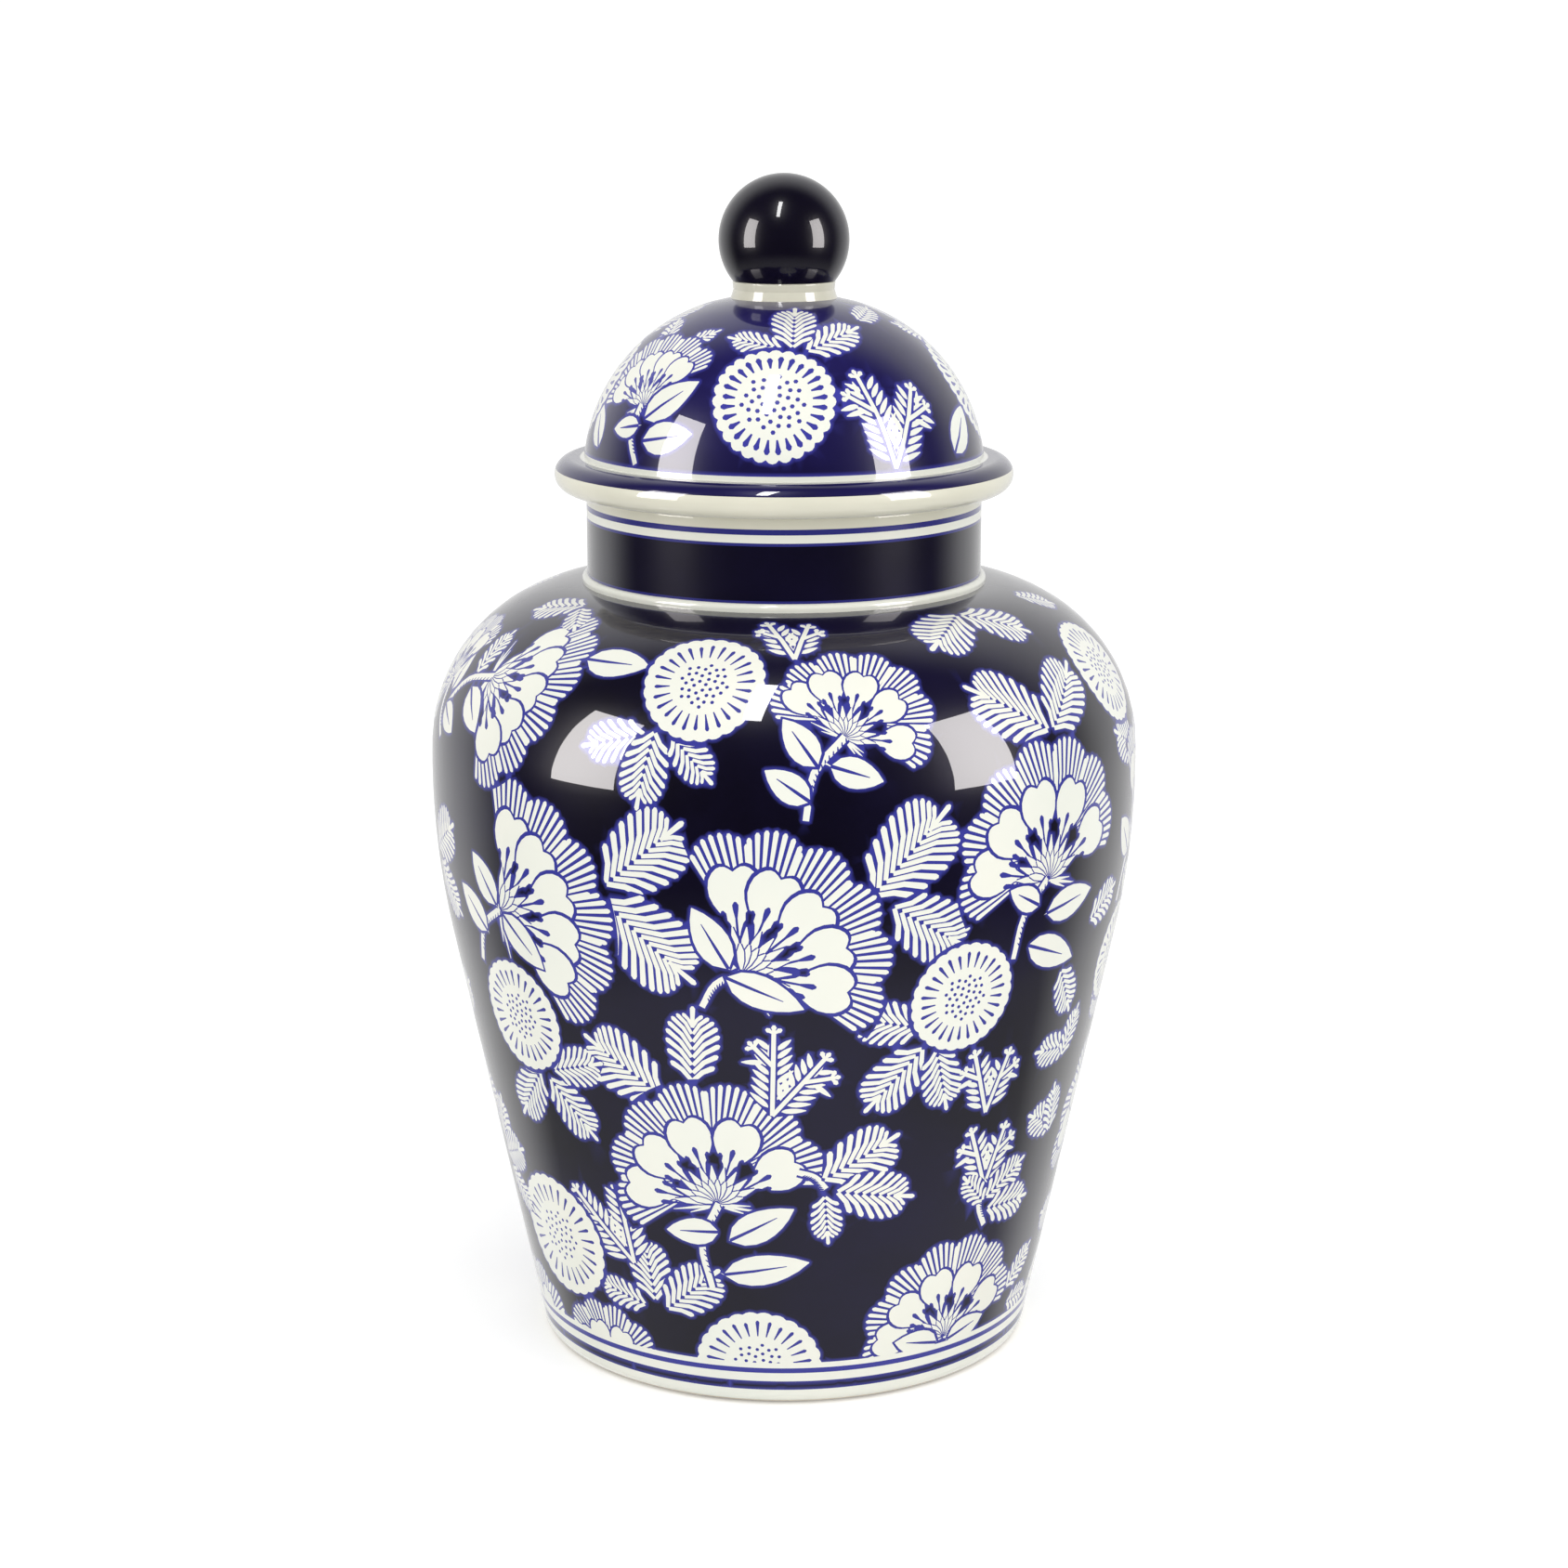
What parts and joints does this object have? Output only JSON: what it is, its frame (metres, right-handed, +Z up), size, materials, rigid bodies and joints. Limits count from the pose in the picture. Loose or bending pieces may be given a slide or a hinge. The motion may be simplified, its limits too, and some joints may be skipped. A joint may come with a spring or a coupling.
{
  "type": "ginger jar",
  "caption": "Lidded porcelain ginger jar: high-shouldered body on a foot ring, straight neck, and a loose domed lid with a ball knob; cobalt blue glaze with reserved white flowers.",
  "frame": {"origin": "centre of the foot ring's underside", "axes": "+Z up along the jar's axis; -Y is the side that the picture shows, with +X to its right"},
  "size_m": [0.2, 0.2, 0.3321],
  "materials": {
    "decorated_porcelain": "glossy clear glaze over cobalt blue with reserved white motifs",
    "decorated_lid_porcelain": "glossy clear glaze over cobalt blue with reserved white motifs",
    "white_porcelain": "glossy white glaze",
    "cobalt_porcelain": "glossy near-black cobalt glaze"
  },
  "bodies": {
    "jar": {"jar_body": "decorated_porcelain"},
    "lid": {"lid_shell": "decorated_lid_porcelain", "knob_collar": "white_porcelain", "lid_knob": "cobalt_porcelain"}
  },
  "joints": [
    {"name": "lid_lift", "type": "slide", "parent": "jar", "child": "lid", "axis": [0, 0, 1], "range_m": [0, 0.15]}
  ]
}
